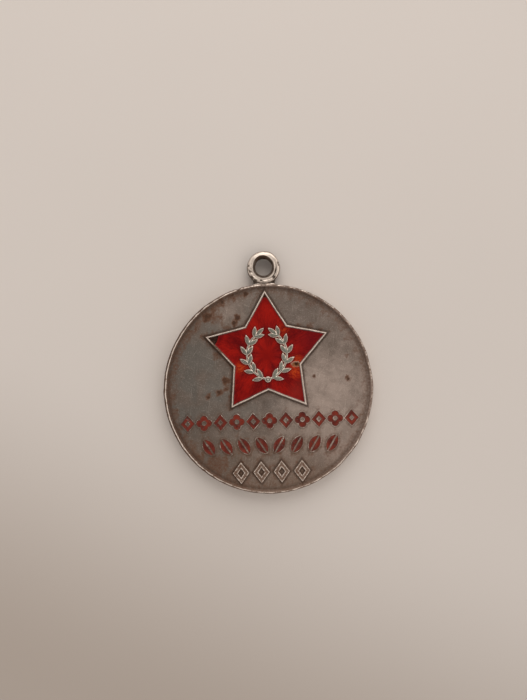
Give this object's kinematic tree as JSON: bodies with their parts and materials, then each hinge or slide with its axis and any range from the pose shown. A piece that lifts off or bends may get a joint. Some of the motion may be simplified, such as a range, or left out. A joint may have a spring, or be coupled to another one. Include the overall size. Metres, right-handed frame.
{
  "type": "award medal",
  "caption": "Round struck silver medal with a raised red-enamelled star, a laurel wreath, rows of enamelled ornament and a soldered hanging eyelet.",
  "frame": {"origin": "centre of the bottom of the bounding box of the whole medal lying on its back: on the plane of the back's rim, 2.7 mm from the disc's centre towards the eyelet", "axes": "+Z is the normal of the front, +Y points from the disc's centre to the eyelet, +X is to the right when the front is looked at with the eyelet up"},
  "size_m": [0.034, 0.0394, 0.0032],
  "materials": {
    "silver": "struck 925 silver, worn bright on the edges and tarnished grey-brown in the field",
    "solder": "silver solder, dull and a little pitted",
    "star_enamel": "translucent deep red glass enamel over a ribbed floor, glossy",
    "row_enamel": "dull brick-red glass enamel"
  },
  "bodies": {
    "root": {"planchet": "silver", "eyelet": "silver", "eyelet_solder": "solder", "wreath_emblem": "silver", "star_enamel": "star_enamel", "upper_inlay_01": "row_enamel", "upper_inlay_02": "row_enamel", "upper_inlay_03": "row_enamel", "upper_inlay_04": "row_enamel", "upper_inlay_05": "row_enamel", "upper_inlay_06": "row_enamel", "upper_inlay_07": "row_enamel", "upper_inlay_08": "row_enamel", "upper_inlay_09": "row_enamel", "upper_inlay_10": "row_enamel", "upper_inlay_11": "row_enamel", "lower_inlay_01": "row_enamel", "lower_inlay_02": "row_enamel", "lower_inlay_03": "row_enamel", "lower_inlay_04": "row_enamel", "lower_inlay_05": "row_enamel", "lower_inlay_06": "row_enamel", "lower_inlay_07": "row_enamel", "lower_inlay_08": "row_enamel"}
  },
  "joints": []
}
